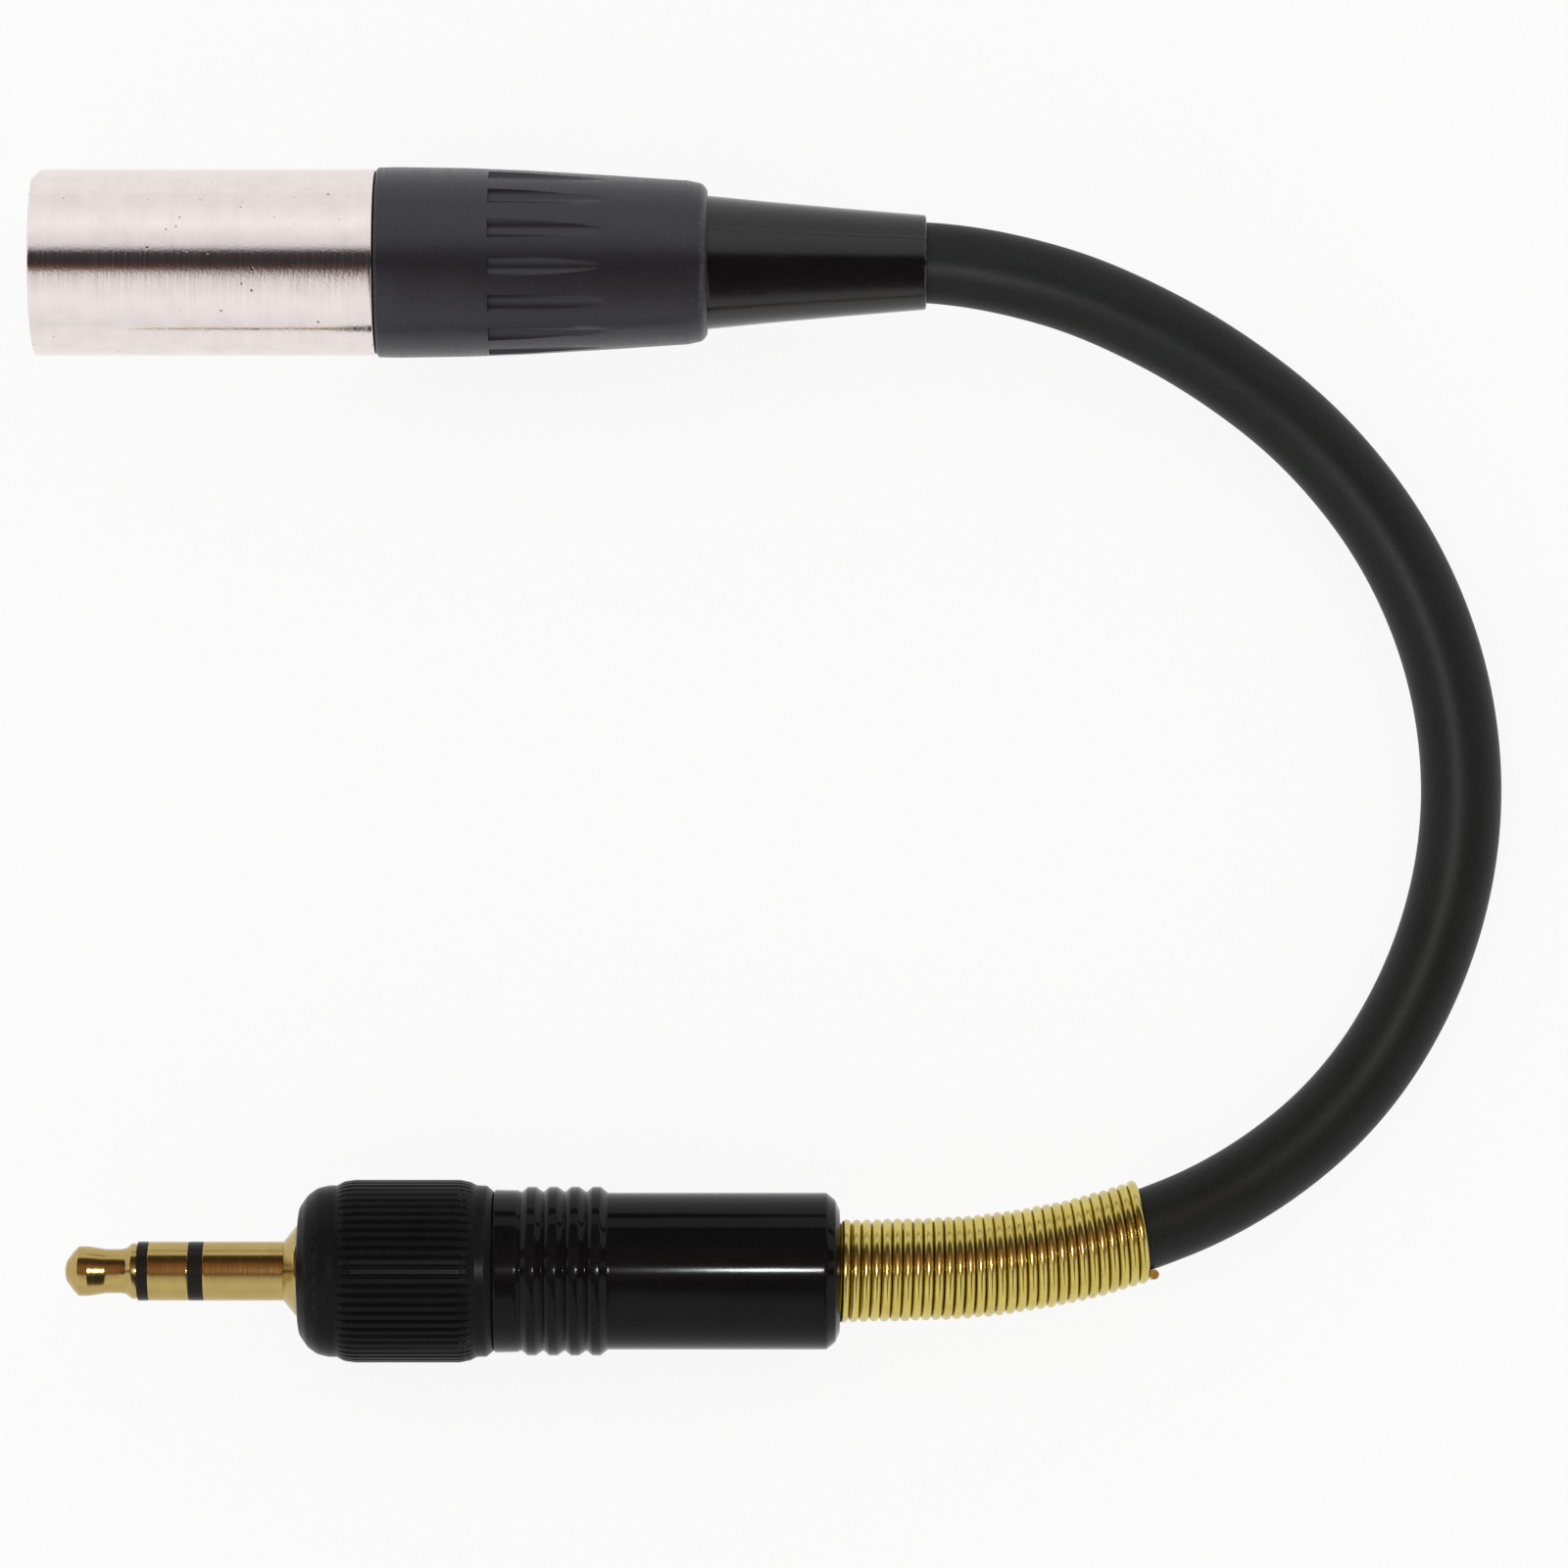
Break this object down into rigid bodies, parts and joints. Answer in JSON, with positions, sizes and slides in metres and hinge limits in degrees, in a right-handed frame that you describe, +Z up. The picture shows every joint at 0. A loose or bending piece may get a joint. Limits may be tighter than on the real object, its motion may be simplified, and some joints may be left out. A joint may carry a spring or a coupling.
{
  "type": "audio adapter lead",
  "caption": "Short adapter lead lying flat in a C: small three-pin audio connector with fluted bushing and boot, round cable, spring-relieved 3.5 mm plug with a knurled locking ring.",
  "frame": {"origin": "on the surface that the lead lies on, under the middle of the box round the two connectors, the free cable and its spring left out", "axes": "+Z up from the surface; both connectors lie along X with their mating ends at -X; the small three-pin connector is on the +Y side and the plug on the -Y side; the cable bends round on the +X side"},
  "size_m": [0.0875, 0.0708, 0.0113],
  "materials": {
    "nickel": "satin nickel plate with fine turning marks",
    "bushing_plastic": "satin charcoal moulded plastic",
    "boot_rubber": "glossy black moulded rubber",
    "cable_jacket": "matt very dark green-black flexible jacket",
    "insert_plastic": "black moulded insulator",
    "collet_plastic": "dark grey moulded nylon",
    "gold_plate": "polished gold plate",
    "spring_gold": "bright yellow gold-plated wire",
    "band_plastic": "glossy black insulating band",
    "ring_black": "black anodised, straight-knurled metal",
    "barrel_black": "glossy black coated metal",
    "spring_steel": "bright spring steel",
    "liner_film": "pale insulating tube",
    "washer_fibre": "brown fibre board",
    "core_white": "white core insulation",
    "core_red": "red core insulation",
    "tinned_copper": "tinned twisted screen strands"
  },
  "bodies": {
    "root": {"xlr_shell": "nickel", "xlr_insert": "insert_plastic", "xlr_pin_1": "gold_plate", "xlr_pin_2": "gold_plate", "xlr_pin_3": "gold_plate", "xlr_ground_tab": "tinned_copper", "xlr_chuck": "collet_plastic", "xlr_bushing": "bushing_plastic", "xlr_boot": "boot_rubber", "xlr_cable_end": "cable_jacket", "xlr_core_1": "core_white", "xlr_core_2": "core_red", "xlr_screen_tail": "tinned_copper", "plug_tip": "gold_plate", "plug_front_insulator": "band_plastic", "plug_ring": "gold_plate", "plug_rear_insulator": "band_plastic", "plug_sleeve": "gold_plate", "ring_clip": "spring_steel", "plug_base_washer": "washer_fibre", "plug_ring_lug": "gold_plate", "plug_lug_washer": "washer_fibre", "plug_tip_lug": "gold_plate", "plug_cable_clamp": "gold_plate", "plug_barrel": "barrel_black", "barrel_liner": "liner_film", "plug_cable_end": "cable_jacket", "plug_core_1": "core_white", "plug_core_2": "core_red", "plug_screen_tail": "tinned_copper", "cable": "cable_jacket", "strain_relief_spring": "spring_gold"},
    "locking_ring": {"locking_ring": "ring_black"}
  },
  "joints": [
    {"name": "locking_ring_spin", "type": "hinge", "parent": "root", "child": "locking_ring", "pos_m": [-0.01078, -0.03003, 0.00541], "axis": [1, 0, 0], "continuous": true}
  ]
}
